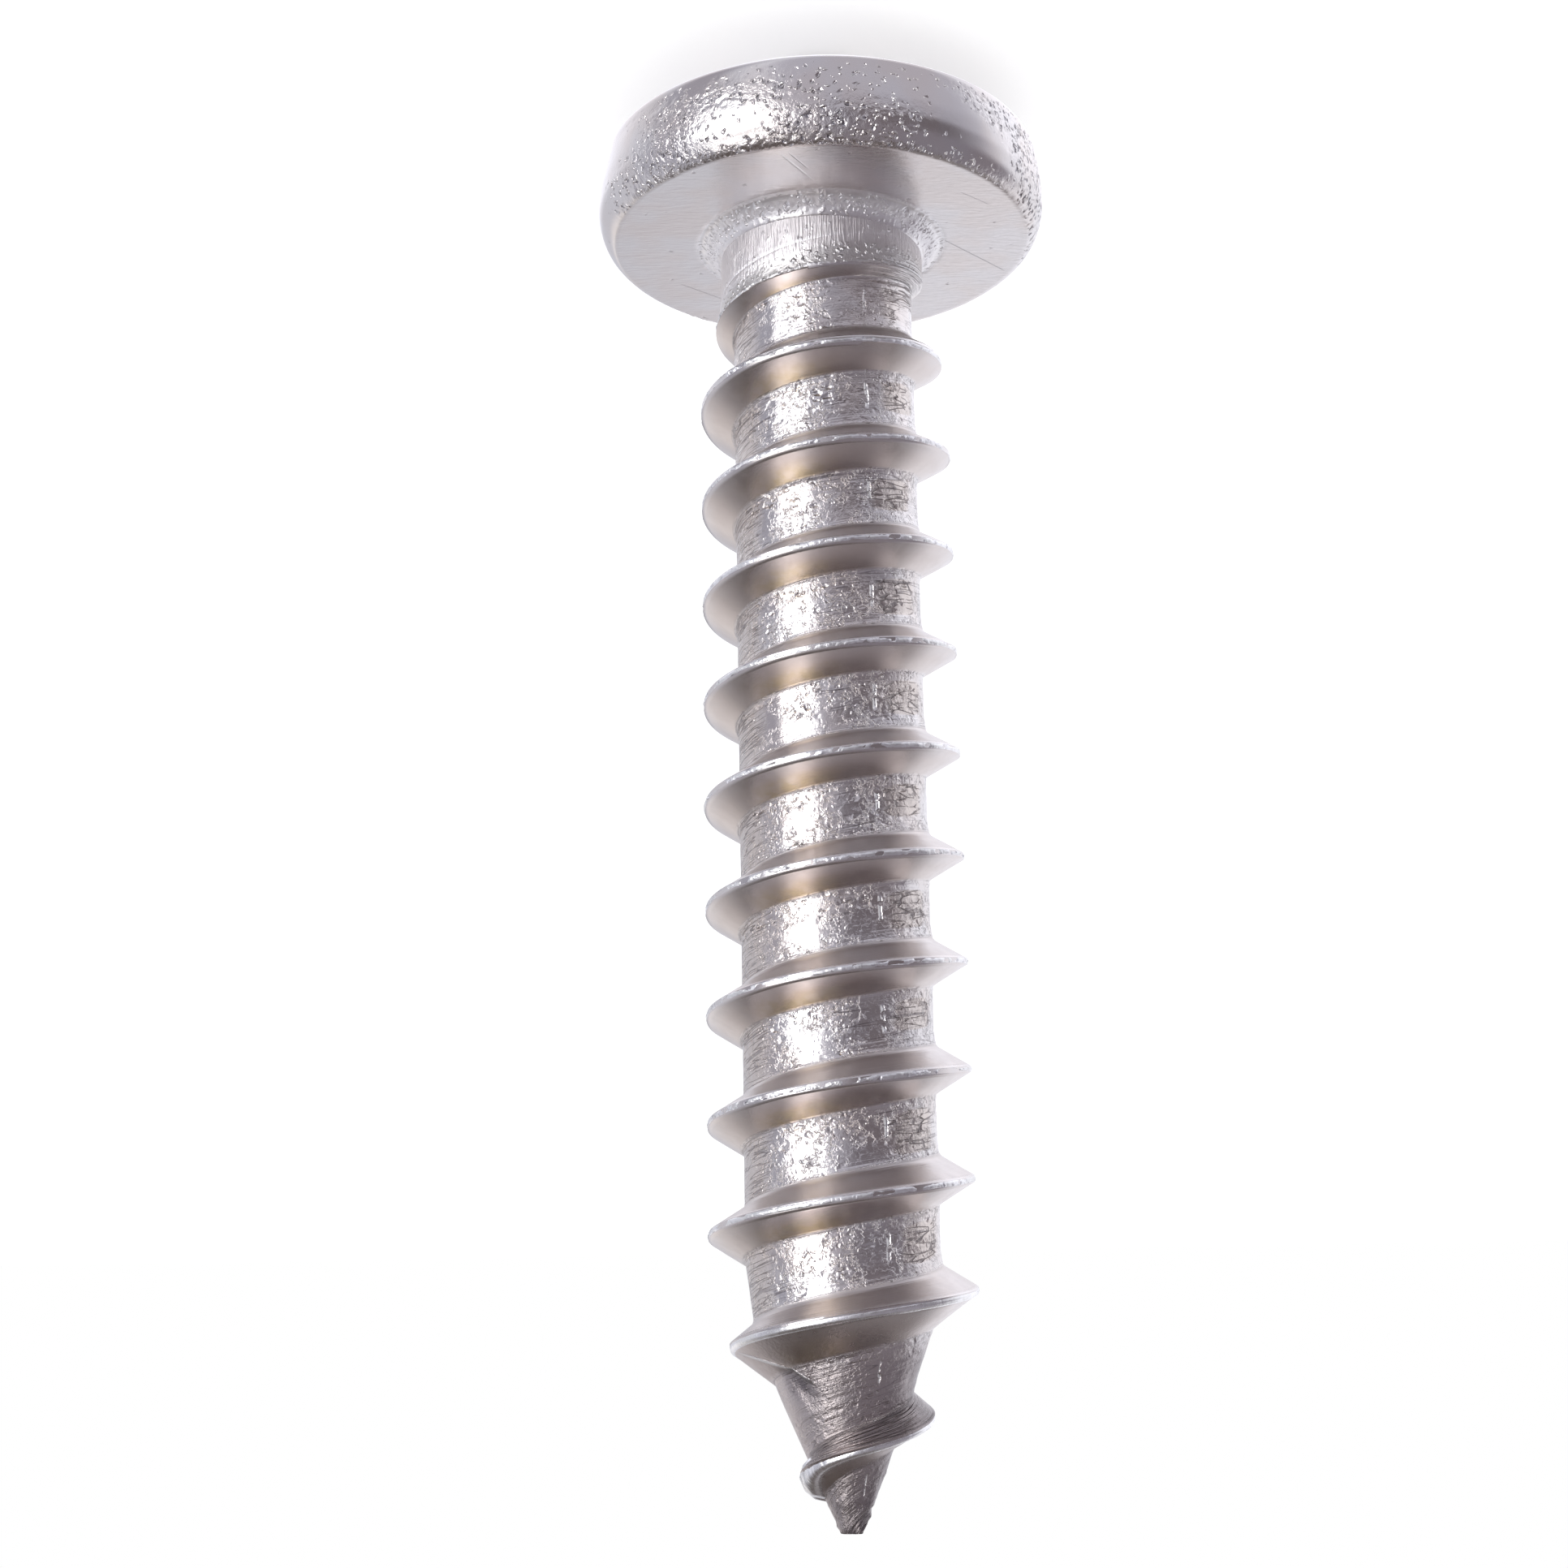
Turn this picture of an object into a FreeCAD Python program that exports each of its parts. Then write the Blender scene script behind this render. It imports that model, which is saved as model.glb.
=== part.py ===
"""Pan head sheet metal screw: one solid, cold headed with a cross recess and rolled with a coarse spaced thread.

Millimetres. The screw stands on the flat of its head: the origin is the middle of that flat, and +Z runs
along the axis to the point. A size that ends in _drop is measured from the bearing face towards the point.
A number of turns is counted along the thread, from the turn whose crest stands at first_crest_drop on +X.
"""

import FreeCAD, Part
import math
import os

Vector = FreeCAD.Vector
ORIGIN = Vector(0, 0, 0)
AXIS = Vector(0, 0, 1)
# Ruled faces join the two curves start to start
ALIGNED = 1
# The lines that run along the thread, from the head's side of the crest to the far side of the groove
LINES = ("crest_start", "crest_end", "groove_start", "groove_end")

# Head
head_diameter = 11.34
head_height = 3.60
widest_drop = -1.00
crown_edge_diameter = 11.06
crown_edge_drop = -2.17
top_flat_diameter = 4.80
bearing_face_diameter = 10.41
rim_bevel_diameter = 11.20
rim_bevel_drop = -0.40
collar_diameter = 5.88
collar_height = 0.12
flare_height = 0.40

# Shank and rolled thread
length_under_head = 31.50
neck_diameter = 5.12
pitch = 2.54
major_diameter = 6.25
minor_diameter = 4.51
crest_width = 0.15
flank_angle = 30.0
first_crest_drop = 2.045
groove_start_turns = -1.00
groove_full_turns = -0.55
crest_start_turns = -0.55
crest_full_turns = 1.00

# Point
point_length = 5.15
point_bulge = 0.09
blunt_diameter = 0.46
# Distances back from the tip: where the crest starts to taper, then where it runs out into the core
crest_taper_start = 5.31
crest_runout_start = 2.66
crest_runout_end = 0.75
# The last turns are drawn out towards the tip by this much, between two distances back from it
crest_advance = 0.38
advance_start = 4.05
advance_end = 2.28

# Cross recess
recess_wings_width = 6.70
recess_depth = 2.70
wing_end_slope = 26.5
wing_floor_thickness = 0.80
wing_draft = 5.75
recess_core_diameter = 2.60
recess_core_draft = 7.0
recess_cone_angle = 138.0

# How finely the curves are drawn, and how far hidden parts run on into the solid
segments_per_turn = 2
points_per_segment = 40
curve_tolerance = 0.001
least_ridge = 0.10
least_core = 0.06
hidden_overlap = 0.05
overcut = 1.0

# Sizes that follow from those above
bearing_z = head_height
tip_z = bearing_z + length_under_head
head_radius = head_diameter / 2
neck_radius = neck_diameter / 2
major_radius = major_diameter / 2
minor_radius = minor_diameter / 2
blunt_radius = blunt_diameter / 2
flank_slope = math.tan(math.radians(flank_angle))
point_taper = (minor_radius - blunt_radius) / point_length
# The thread is drawn as four lines to a turn, so this is their distance when they are evenly spread
even_gap = pitch / 4


def eased(value, start, end):
    """Share of the way from start to end, between 0 and 1, with a soft beginning and a soft end."""
    share = min(max((value - start) / (end - start), 0), 1)
    return share * share * (3 - 2 * share)


def meridian_line(start, end):
    return Part.LineSegment(Vector(start[0], 0, start[1]), Vector(end[0], 0, end[1])).toShape()


def meridian_arc(start, middle, end):
    return Part.Arc(*[Vector(p[0], 0, p[1]) for p in (start, middle, end)]).toShape()


def crown_arc(inner, outer):
    """Arc of a sphere about the axis, through the edge of the top flat and the edge of the crown."""
    rise = outer[1] - inner[1]
    centre_z = (outer[0] ** 2 + outer[1] ** 2 - inner[0] ** 2 - inner[1] ** 2) / (2 * rise)
    sphere_radius = math.hypot(inner[0], inner[1] - centre_z)
    mid_radius = (inner[0] + outer[0]) / 2
    middle = (mid_radius, centre_z - math.sqrt(sphere_radius**2 - mid_radius**2))
    return meridian_arc(inner, middle, outer)


def make_head():
    """The head as a turned blank, with the collar and flare that lead into the neck."""
    flat_edge = (top_flat_diameter / 2, 0)
    crown_edge = (crown_edge_diameter / 2, bearing_z + crown_edge_drop)
    widest = (head_radius, bearing_z + widest_drop)
    bevel_edge = (rim_bevel_diameter / 2, bearing_z + rim_bevel_drop)
    face_edge = (bearing_face_diameter / 2, bearing_z)
    collar_foot = (collar_diameter / 2, bearing_z)
    collar_edge = (collar_diameter / 2, bearing_z + collar_height)
    flare_end = (neck_radius - hidden_overlap, bearing_z + flare_height + hidden_overlap)
    profile = [
        meridian_line((0, 0), flat_edge),
        crown_arc(flat_edge, crown_edge),
        meridian_arc(crown_edge, widest, bevel_edge),
        meridian_line(bevel_edge, face_edge),
        meridian_line(face_edge, collar_foot),
        meridian_line(collar_foot, collar_edge),
        meridian_line(collar_edge, flare_end),
        meridian_line(flare_end, (0, flare_end[1])),
        meridian_line((0, flare_end[1]), (0, 0)),
    ]
    return Part.Face(Part.Wire(profile)).revolve(ORIGIN, AXIS, 360)


def root_radius(turns, z):
    """Radius at the bottom of the thread groove: the neck at first, then the rolled core, then the point."""
    groove = eased(turns, groove_start_turns, groove_full_turns)
    radius = neck_radius + (minor_radius - neck_radius) * groove
    along_point = (z - tip_z + point_length) / point_length
    if along_point > 0:
        radius = minor_radius - point_taper * along_point * point_length
        radius += 4 * point_bulge * along_point * (1 - min(along_point, 1))
    return max(radius, least_core)


def crest_radius(turns, z):
    """Radius of the crest: it grows out of the neck, tapers along the point and runs out into the core."""
    grown = eased(turns, crest_start_turns, crest_full_turns)
    radius = neck_radius + (major_radius - neck_radius) * grown
    radius -= point_taper * max(z - tip_z + crest_taper_start, 0)
    runout_length = crest_runout_start - crest_runout_end
    runout = min(max((z - tip_z + crest_runout_start) / runout_length, 0), 1)
    core = root_radius(turns, z)
    return core + max(radius - core, 0) * (1 - runout**2)


def crest_half_width(turns):
    """Half the crest's width: near the neck the flanks have not met yet, so the crest is broader."""
    unformed = 1 - eased(turns, crest_start_turns, crest_full_turns)
    return crest_width / 2 + (major_radius - neck_radius) * unformed * flank_slope


def crest_height(turns):
    """Height of the middle of the crest, which is drawn out a little on the point."""
    z = bearing_z + first_crest_drop + pitch * turns
    return z + crest_advance * eased(z, tip_z - advance_start, tip_z - advance_end)


def thread_row(name, turns):
    """Point where one line along the thread crosses the half plane at a number of turns.

    The lines are the crest's two edges and the two edges of the groove that follows the crest. Past the tip,
    where all is cut off, they spread out evenly so that the cone between them stays true.
    """
    crest_turns = turns + 1 if name == "groove_end" else turns
    side = -1 if name in ("crest_start", "groove_end") else 1
    z = crest_height(crest_turns)
    spread = eased(z, tip_z - crest_runout_end, tip_z + even_gap)
    z += side * (crest_half_width(crest_turns) * (1 - spread) + even_gap / 2 * spread)
    radius = crest_radius(crest_turns, z)
    if name in ("groove_start", "groove_end"):
        flank = max(radius - root_radius(turns, z), least_ridge) * flank_slope
        z += side * (flank * (1 - spread) + even_gap * spread)
        radius = root_radius(turns, z)
    angle = 2 * math.pi * turns
    return Vector(radius * math.cos(angle), radius * math.sin(angle), z)


def row_edge(name, segment, first_turns):
    """One line along the thread over one segment of a turn, as a smooth curve."""
    start = first_turns + segment / segments_per_turn
    step = 1 / (segments_per_turn * points_per_segment)
    points = [thread_row(name, start + k * step) for k in range(points_per_segment + 1)]
    curve = Part.BSplineCurve()
    curve.approximate(Points=points, DegMin=5, DegMax=8, Tolerance=curve_tolerance)
    return curve.toShape()


def end_faces(first_turns, boundary):
    """The flat half plane and the winding face that close one end of the threaded shank."""
    outline = [thread_row(name, first_turns) for name in LINES]
    outline.append(thread_row("crest_start", first_turns + 1))
    starts = [first_turns + k / segments_per_turn for k in range(segments_per_turn + 1)]
    feet = [Vector(0, 0, thread_row("crest_start", turns).z) for turns in starts]
    faces = [Part.Face(Part.makePolygon([feet[0]] + outline + [feet[-1], feet[0]]))]
    for k, edge in enumerate(boundary):
        foot = Part.makeLine(feet[k], feet[k + 1])
        faces.append(Part.makeRuledSurface(edge, foot, ALIGNED))
    return faces


def make_shank():
    """Neck, rolled thread and point as one solid, skinned strip by strip along the thread."""
    inside_head = first_crest_drop - crest_half_width(crest_start_turns) + hidden_overlap
    first_turns = -1 - inside_head / pitch
    past_tip = (length_under_head - first_crest_drop + even_gap) / pitch
    segments = math.ceil((past_tip - first_turns) * segments_per_turn)
    count = segments + segments_per_turn
    rows = {name: [row_edge(name, k, first_turns) for k in range(count)] for name in LINES}
    faces = []
    for k in range(segments):
        strip = [rows[name][k] for name in LINES] + [rows["crest_start"][k + segments_per_turn]]
        faces += [Part.makeRuledSurface(a, b, ALIGNED) for a, b in zip(strip, strip[1:])]
    last_turns = first_turns + segments / segments_per_turn
    faces += end_faces(first_turns, rows["crest_start"][:segments_per_turn])
    faces += end_faces(last_turns, rows["crest_start"][segments : segments + segments_per_turn])
    shell = Part.makeShell(faces)
    shell.sewShape()
    shank = Part.Solid(shell)
    if shank.Volume < 0:
        shank.reverse()
    return shank


def make_wing(turned):
    """One pair of opposite wings of the recess: a tapered blade across the axis."""
    sections = []
    for z in (-overcut, recess_depth):
        rise = recess_depth - z
        half_length = recess_wings_width / 2 - z * math.tan(math.radians(wing_end_slope))
        half_thickness = wing_floor_thickness / 2 + rise * math.tan(math.radians(wing_draft))
        corners = [(half_length, half_thickness), (-half_length, half_thickness)]
        corners += [(-half_length, -half_thickness), (half_length, -half_thickness)]
        points = [Vector(x, y, z) for x, y in corners]
        sections.append(Part.makePolygon(points + points[:1]))
    wing = Part.makeLoft(sections, True, True)
    wing.rotate(ORIGIN, AXIS, turned)
    return wing


def make_recess():
    """The cross recess: two pairs of wings round a drafted core that ends in a shallow cone."""
    floor_radius = recess_core_diameter / 2
    core_height = recess_depth + overcut
    mouth_radius = floor_radius + core_height * math.tan(math.radians(recess_core_draft))
    core = Part.makeCone(mouth_radius, floor_radius, core_height, Vector(0, 0, -overcut))
    cone_height = floor_radius / math.tan(math.radians(recess_cone_angle / 2))
    cone = Part.makeCone(floor_radius, 0, cone_height, Vector(0, 0, recess_depth))
    return core.fuse([cone, make_wing(0), make_wing(90)])


def make_screw():
    """Head and shank joined, cut off at the blunt end, with the recess sunk into the crown."""
    head = make_head()
    shank = make_shank()
    beyond = Part.makeBox(head_diameter, head_diameter, length_under_head)
    beyond.translate(Vector(-head_radius, -head_radius, tip_z))
    shank = shank.cut(beyond)
    screw = head.fuse(shank)
    screw = screw.cut(make_recess())
    return screw.Solids[0]


os.makedirs("parts", exist_ok=True)
make_screw().exportStep("parts/screw.step")
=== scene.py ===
"""A sheet metal screw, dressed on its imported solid: forged head, rolled neck and thread, blunt point.

Lengths are in millimetres and become metres when a mesh is made. A side of the screw is an angle round its
axis in degrees, from +X. Turns are counted along the thread, as in the solid's source.
"""

import math
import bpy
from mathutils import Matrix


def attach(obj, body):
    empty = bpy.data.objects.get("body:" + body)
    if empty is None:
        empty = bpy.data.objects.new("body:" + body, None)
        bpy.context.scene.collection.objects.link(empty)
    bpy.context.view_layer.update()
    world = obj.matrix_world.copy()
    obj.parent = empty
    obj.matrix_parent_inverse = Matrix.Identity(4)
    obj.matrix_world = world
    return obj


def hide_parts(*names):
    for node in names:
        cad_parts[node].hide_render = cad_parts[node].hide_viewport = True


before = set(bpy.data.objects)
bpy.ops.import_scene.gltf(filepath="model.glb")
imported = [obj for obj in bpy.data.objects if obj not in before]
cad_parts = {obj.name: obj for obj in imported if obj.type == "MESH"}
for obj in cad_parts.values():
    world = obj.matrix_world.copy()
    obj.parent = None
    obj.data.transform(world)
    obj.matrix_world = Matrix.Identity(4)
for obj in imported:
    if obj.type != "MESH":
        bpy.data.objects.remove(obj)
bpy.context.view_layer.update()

from types import SimpleNamespace

import bmesh
import bpy
import numpy as np
from mathutils import Matrix, Vector

MM = 0.001

# The solid's sizes, as in its source
bearing_z = 3.60
length_under_head = 31.50
tip_z = bearing_z + length_under_head
head_radius = 5.67
crown_edge_radius = 5.53
crown_edge_z = 1.43
top_flat_radius = 2.40
neck_radius = 2.56
pitch = 2.54
major_radius = 3.125
minor_radius = 2.255
crest_width = 0.15
flank_angle = math.radians(30)
flank_slope = math.tan(flank_angle)
first_crest_drop = 2.045
groove_start_turns = -1.00
groove_full_turns = -0.55
crest_start_turns = -0.55
crest_full_turns = 1.00
point_length = 5.15
point_bulge = 0.09
blunt_radius = 0.23
crest_taper_start = 5.31
crest_runout_start = 2.66
crest_runout_end = 0.75
crest_advance = 0.38
advance_start = 4.05
advance_end = 2.28
least_ridge = 0.10
least_core = 0.06
even_gap = pitch / 4
point_taper = (minor_radius - blunt_radius) / point_length
recess_half_width = 3.35
recess_depth = 2.70
wing_end_slope = math.radians(26.5)
wing_floor_half_width = 0.40
wing_draft = math.radians(5.75)
recess_core_radius = 1.30
recess_core_draft = math.radians(7)
recess_cone_half_angle = math.radians(69)
overcut = 1.0


# Noise on a lattice, the same on each run

def hashed(ix, iy, iz, seed):
    """Fixed pseudo-random number from 0 to 1 for each lattice point."""
    h = (ix * 374761393 + iy * 668265263 + iz * 2147483647 + seed * 144269504) & 0xFFFFFFFF
    h = ((h ^ (h >> 13)) * 1274126177) & 0xFFFFFFFF
    h = ((h ^ (h >> 16)) * 2246822519) & 0xFFFFFFFF
    return ((h ^ (h >> 15)) & 0xFFFFFF) / 0xFFFFFF


def noise(x, y, z, seed):
    """Smooth value noise from -1 to 1 with a lattice step of 1."""
    x, y, z = np.broadcast_arrays(x, y, z)
    cells = [np.floor(c).astype(np.int64) for c in (x, y, z)]
    shares = [c - i for c, i in zip((x, y, z), cells)]
    shares = [s * s * s * (s * (6 * s - 15) + 10) for s in shares]
    total = 0
    for dx in (0, 1):
        for dy in (0, 1):
            for dz in (0, 1):
                weight = np.ones_like(shares[0])
                for share, step in zip(shares, (dx, dy, dz)):
                    weight = weight * (share if step else 1 - share)
                total = total + weight * hashed(cells[0] + dx, cells[1] + dy, cells[2] + dz, seed)
    return total * 2 - 1


def rough(x, y, z, size, seed, octaves):
    """Several octaves of noise, the coarsest of them with the given grain size."""
    fade = 0.55
    total, amount, whole = 0, 1.0, 0.0
    for k in range(octaves):
        f = 2.03**k / size
        total = total + amount * noise(x * f, y * f, z * f, seed + 17 * k)
        whole += amount
        amount *= fade
    return total / whole


def soft_step(value, start, end):
    share = np.clip((value - start) / (end - start), 0, 1)
    return share * share * (3 - 2 * share)


def bell(value, centre, half_width):
    """1 at the centre, falling softly to 0 at half_width from it."""
    share = np.clip(1 - np.abs(value - centre) / half_width, 0, 1)
    return share * share * (3 - 2 * share)


def grains(x, y, z, size, seed, keep):
    """Separate round bumps, one in a share of the lattice's cells: 1 in the middle, 0 outside."""
    reach = 0.42
    x, y, z = [c / size for c in np.broadcast_arrays(x, y, z)]
    cells = [np.floor(c).astype(np.int64) for c in (x, y, z)]
    highest = np.zeros_like(x)
    for dx in (-1, 0, 1):
        for dy in (-1, 0, 1):
            for dz in (-1, 0, 1):
                corner = [c + d for c, d in zip(cells, (dx, dy, dz))]
                middle = [c + 0.2 + 0.6 * hashed(*corner, seed + k) for k, c in enumerate(corner)]
                distance = np.sqrt((x - middle[0]) ** 2 + (y - middle[1]) ** 2 + (z - middle[2]) ** 2)
                chosen = hashed(*corner, seed + 5) < keep
                highest = np.maximum(highest, chosen * soft_step(1 - distance / reach, 0, 1))
    return highest


# Meshes

join_distance = 2e-7 / MM
least_edge = 1e-8 / MM
least_face = 1e-9 / MM


def make_mesh(name, points, quads, others=()):
    """Mesh from points in millimetres."""
    mesh = bpy.data.meshes.new(name)
    corners = [tuple(p) for p in np.asarray(points) * MM]
    mesh.from_pydata(corners, [], [tuple(face) for face in (*quads, *others)])
    mesh.update()
    return mesh


def tidy_mesh(mesh):
    """Joins points that coincide, drops what has no size, and turns all faces outwards."""
    work = bmesh.new()
    work.from_mesh(mesh)
    bmesh.ops.remove_doubles(work, verts=work.verts, dist=join_distance * MM)
    bmesh.ops.dissolve_degenerate(work, edges=work.edges, dist=least_edge * MM)
    loose = [v for v in work.verts if not v.link_faces]
    bmesh.ops.delete(work, geom=loose, context="VERTS")
    bmesh.ops.recalc_face_normals(work, faces=work.faces)
    work.to_mesh(mesh)
    work.free()
    for polygon in mesh.polygons:
        polygon.use_smooth = True
    mesh.update()


def add_float(mesh, name, values):
    attribute = mesh.attributes.new(name, "FLOAT", "POINT")
    attribute.data.foreach_set("value", np.asarray(values, np.float32).ravel())


def add_vector(mesh, name, values):
    attribute = mesh.attributes.new(name, "FLOAT_VECTOR", "POINT")
    attribute.data.foreach_set("vector", np.asarray(values, np.float32).ravel())


def point_bend(z):
    """How far the blunt end stands to one side of the axis."""
    return -0.09 * soft_step(z, tip_z - 3.0, tip_z)


def bent_points(radius, angle, z):
    """Points of the shank from their radius, angle and height, bent aside as the point is."""
    return np.stack([radius * np.cos(angle) + point_bend(z), radius * np.sin(angle), z], axis=-1)


# The threaded shank: the rows along the thread repeat the solid's own

def turns_at(z):
    """Turn whose crest would stand at a height if it weren't drawn out on the point."""
    return (z - bearing_z - first_crest_drop) / pitch


def root_radius(turns, z):
    groove = soft_step(turns, groove_start_turns, groove_full_turns)
    radius = neck_radius + (minor_radius - neck_radius) * groove
    along_point = (z - tip_z + point_length) / point_length
    on_point = minor_radius - point_taper * along_point * point_length
    on_point = on_point + 4 * point_bulge * along_point * (1 - np.minimum(along_point, 1))
    return np.maximum(np.where(along_point > 0, on_point, radius), least_core)


def crest_radius(turns, z):
    grown = soft_step(turns, crest_start_turns, crest_full_turns)
    radius = neck_radius + (major_radius - neck_radius) * grown
    radius = radius - point_taper * np.maximum(z - tip_z + crest_taper_start, 0)
    runout = np.clip((z - tip_z + crest_runout_start) / (crest_runout_start - crest_runout_end), 0, 1)
    core = root_radius(turns, z)
    return core + np.maximum(radius - core, 0) * (1 - runout**2)


def crest_half_width(turns):
    unformed = 1 - soft_step(turns, crest_start_turns, crest_full_turns)
    return crest_width / 2 + (major_radius - neck_radius) * unformed * flank_slope


def crest_height(turns):
    z = bearing_z + first_crest_drop + pitch * turns
    return z + crest_advance * soft_step(z, tip_z - advance_start, tip_z - advance_end)


def lip_sink(turns, z):
    """How far the ridge stays below the solid's crest, where the rolled lip stands on it."""
    ridge = crest_radius(turns, z) - root_radius(turns, z)
    return 0.03 * soft_step(turns, -0.4, 0.4) * np.clip(ridge / 0.3, 0, 1)


def thread_row(name, turns):
    """Radius and height of one of the lines along the thread."""
    crest_turns = turns + 1 if name in ("groove_end", "next_crest") else turns
    side = -1 if name in ("crest_start", "groove_end", "next_crest") else 1
    z = crest_height(crest_turns)
    spread = soft_step(z, tip_z - crest_runout_end, tip_z + even_gap)
    z = z + side * (crest_half_width(crest_turns) * (1 - spread) + even_gap / 2 * spread)
    radius = crest_radius(crest_turns, z)
    if name in ("crest_start", "next_crest"):
        unformed = 1 - soft_step(crest_turns, crest_start_turns, crest_full_turns)
        return radius - np.maximum(radius - neck_radius, 0) * unformed - lip_sink(crest_turns, z), z
    if name == "crest_end":
        return radius - lip_sink(turns, z), z
    if name in ("groove_start", "groove_end"):
        flank = np.maximum(radius - root_radius(turns, z), least_ridge) * flank_slope
        z = z + side * (flank * (1 - spread) + even_gap * spread)
        radius = root_radius(turns, z)
    return radius, z


steps_per_turn = 174
CREST, TIP_FLANK, GROOVE, HEAD_FLANK = range(4)
# Each strip's two lines, and how many rows of points it has
STRIPS = (
    ("crest_start", "crest_end", 7),
    ("crest_end", "groove_start", 8),
    ("groove_start", "groove_end", 17),
    ("groove_end", "next_crest", 9),
)
rows_per_turn = sum(rows for start, end, rows in STRIPS)
# Both ends close on the axis over this width: one inside the head, the other as the blunt end
closing_width = 0.45
shank_low_z = bearing_z - 0.15
# About how wide the groove's floor is between the full flanks
groove_width = 1.39


def shank_grid():
    """Rows of points over the thread before any mark is made, and what is known of where each of them is."""
    first = turns_at(shank_low_z - closing_width) - 2.0
    last = turns_at(tip_z + closing_width) + 0.9
    count = int(math.ceil((last - first) * steps_per_turn))
    turns = first + np.arange(count + 1) / steps_per_turn
    unformed = 1 - soft_step(turns, crest_start_turns, crest_full_turns)
    parts = {"radius": [], "z": [], "strip": [], "share": []}
    for strip, (start, end, rows) in enumerate(STRIPS):
        r0, z0 = thread_row(start, turns)
        r1, z1 = thread_row(end, turns)
        for k in range(rows):
            share = k / rows
            # At first the crest is a hollow slope that rises from the neck
            rise = share ** (1 + 2.2 * unformed) if strip == CREST else share
            parts["radius"].append(r0 + (r1 - r0) * rise)
            parts["z"].append(z0 + (z1 - z0) * share)
            parts["strip"].append(np.full_like(turns, strip))
            parts["share"].append(np.full_like(turns, share))
    grid = SimpleNamespace(**{name: np.array(rows).T for name, rows in parts.items()})
    grid.turns = np.repeat(turns[:, None], rows_per_turn, axis=1)
    grid.angle = 2 * math.pi * grid.turns
    grid.lap = np.floor(grid.turns)
    grid.side = (grid.turns - grid.lap) * 360
    grid.x = grid.radius * np.cos(grid.angle)
    grid.y = grid.radius * np.sin(grid.angle)
    grid.along = grid.turns * 2 * math.pi * minor_radius
    grid.across = grid.share * groove_width
    return grid


# What the shank's mesh tells its material about each point, besides its place along and across the thread
SHANK_MASKS = (
    "turns", "groove", "tip_flank", "flank_depth", "head_flank", "neck", "burr", "torn", "folded",
    "point", "dull", "beyond_fold", "at_fold", "hollow",
)


def add_regions(g):
    """Adds to the grid which part of the shank each point belongs to, from 0 to 1."""
    formed = soft_step(g.turns, -0.9, 0.2)
    crest_turns = g.turns + (g.strip == HEAD_FLANK)
    beside_crest = (g.strip == CREST) | (g.strip == HEAD_FLANK)
    g.groove = (g.strip == GROOVE) * formed
    g.tip_flank = (g.strip == TIP_FLANK) * formed
    g.flank_depth = g.tip_flank * g.share
    g.head_flank = (g.strip == HEAD_FLANK) * soft_step(crest_turns, 0.2, 0.9)
    g.neck = 1 - np.where(beside_crest, soft_step(crest_turns, 0.1, 0.8), soft_step(g.turns, -1.0, -0.55))
    g.burr = (g.strip == CREST) * soft_step(g.share, 0.0, 0.6) * bell(g.turns, -0.1, 0.9)
    g.point = soft_step(g.z, tip_z - 5.0, tip_z - 3.6)
    g.near_tip = soft_step(g.z, tip_z - 1.9, tip_z - 0.6)
    # Painted shade: the point darker on one side and towards its blunt end
    g.dull = g.point * np.clip(bell(g.side, 190, 62) + g.near_tip * 0.5, 0, 1)


def groove_marks(g):
    """Bands beside the flanks with steps between them, flat lumps, and the blank's seam, torn open again."""
    band_height, band_side = 0.024, 208
    seam_depth, seam_side = 0.022, 222
    wander = 0.012 * noise(g.along / 2.2, 0, 0, 31)
    bands = 0.6 * (1 - soft_step(g.share + wander, 0.085, 0.10))
    bands = bands + 0.9 * soft_step(g.share + wander, 0.80, 0.815)
    bands = bands + 0.7 * soft_step(g.share - wander, 0.90, 0.915)
    push = (0.001 + band_height * bell(g.side, band_side, 62)) * bands
    push += 0.004 * noise(g.along / 2.6, g.across / 0.3, 0.5, 32)
    patches = soft_step(rough(g.x, g.y, g.z, 1.3, 34, 2), -0.1, 0.3)
    push += (0.002 + 0.007 * patches) * rough(g.x, g.y, g.z, 0.45, 35, 2)
    # The seam crosses the groove at one side of the screw, without reaching the flanks
    g.torn = bell(g.side + 7 * noise(g.lap * 1.7, 0, 0, 41), seam_side, 30) * soft_step(g.share, 0.10, 0.22)
    g.torn = g.torn * soft_step(0.80 + 0.1 * noise(g.lap * 1.3, 4, 0, 44) - g.share, 0, 0.08) * g.groove
    ledge = noise(g.along / 0.42, g.across / 0.16, 0.5, 42)
    return g.groove * push - g.torn * seam_depth * soft_step(ledge, 0.05, 0.25)


def neck_marks(g):
    """The rough band along the thread's first turn, and the roll's first folds at one side of the neck."""
    burr_height, fold_height, fold_turns = 0.036, 0.026, -0.43
    push = g.burr * (burr_height * grains(g.x, g.y, g.z, 0.17, 11, 0.85) - 0.014)
    push += g.neck * 0.008 * rough(g.x, g.y, g.z, 0.9, 51, 2)
    g.folded = bell(g.turns, fold_turns, 0.14) * (g.strip < HEAD_FLANK)
    g.folded = g.folded * np.where(g.strip == CREST, soft_step(g.share, 0.4, 0.9), 1)
    g.folded = g.folded * np.where(g.strip == GROOVE, soft_step(0.55 - g.share, 0, 0.3), 1)
    return push + g.folded * fold_height * noise(g.along / 1.8, g.z / 0.12, 3, 52)


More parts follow.
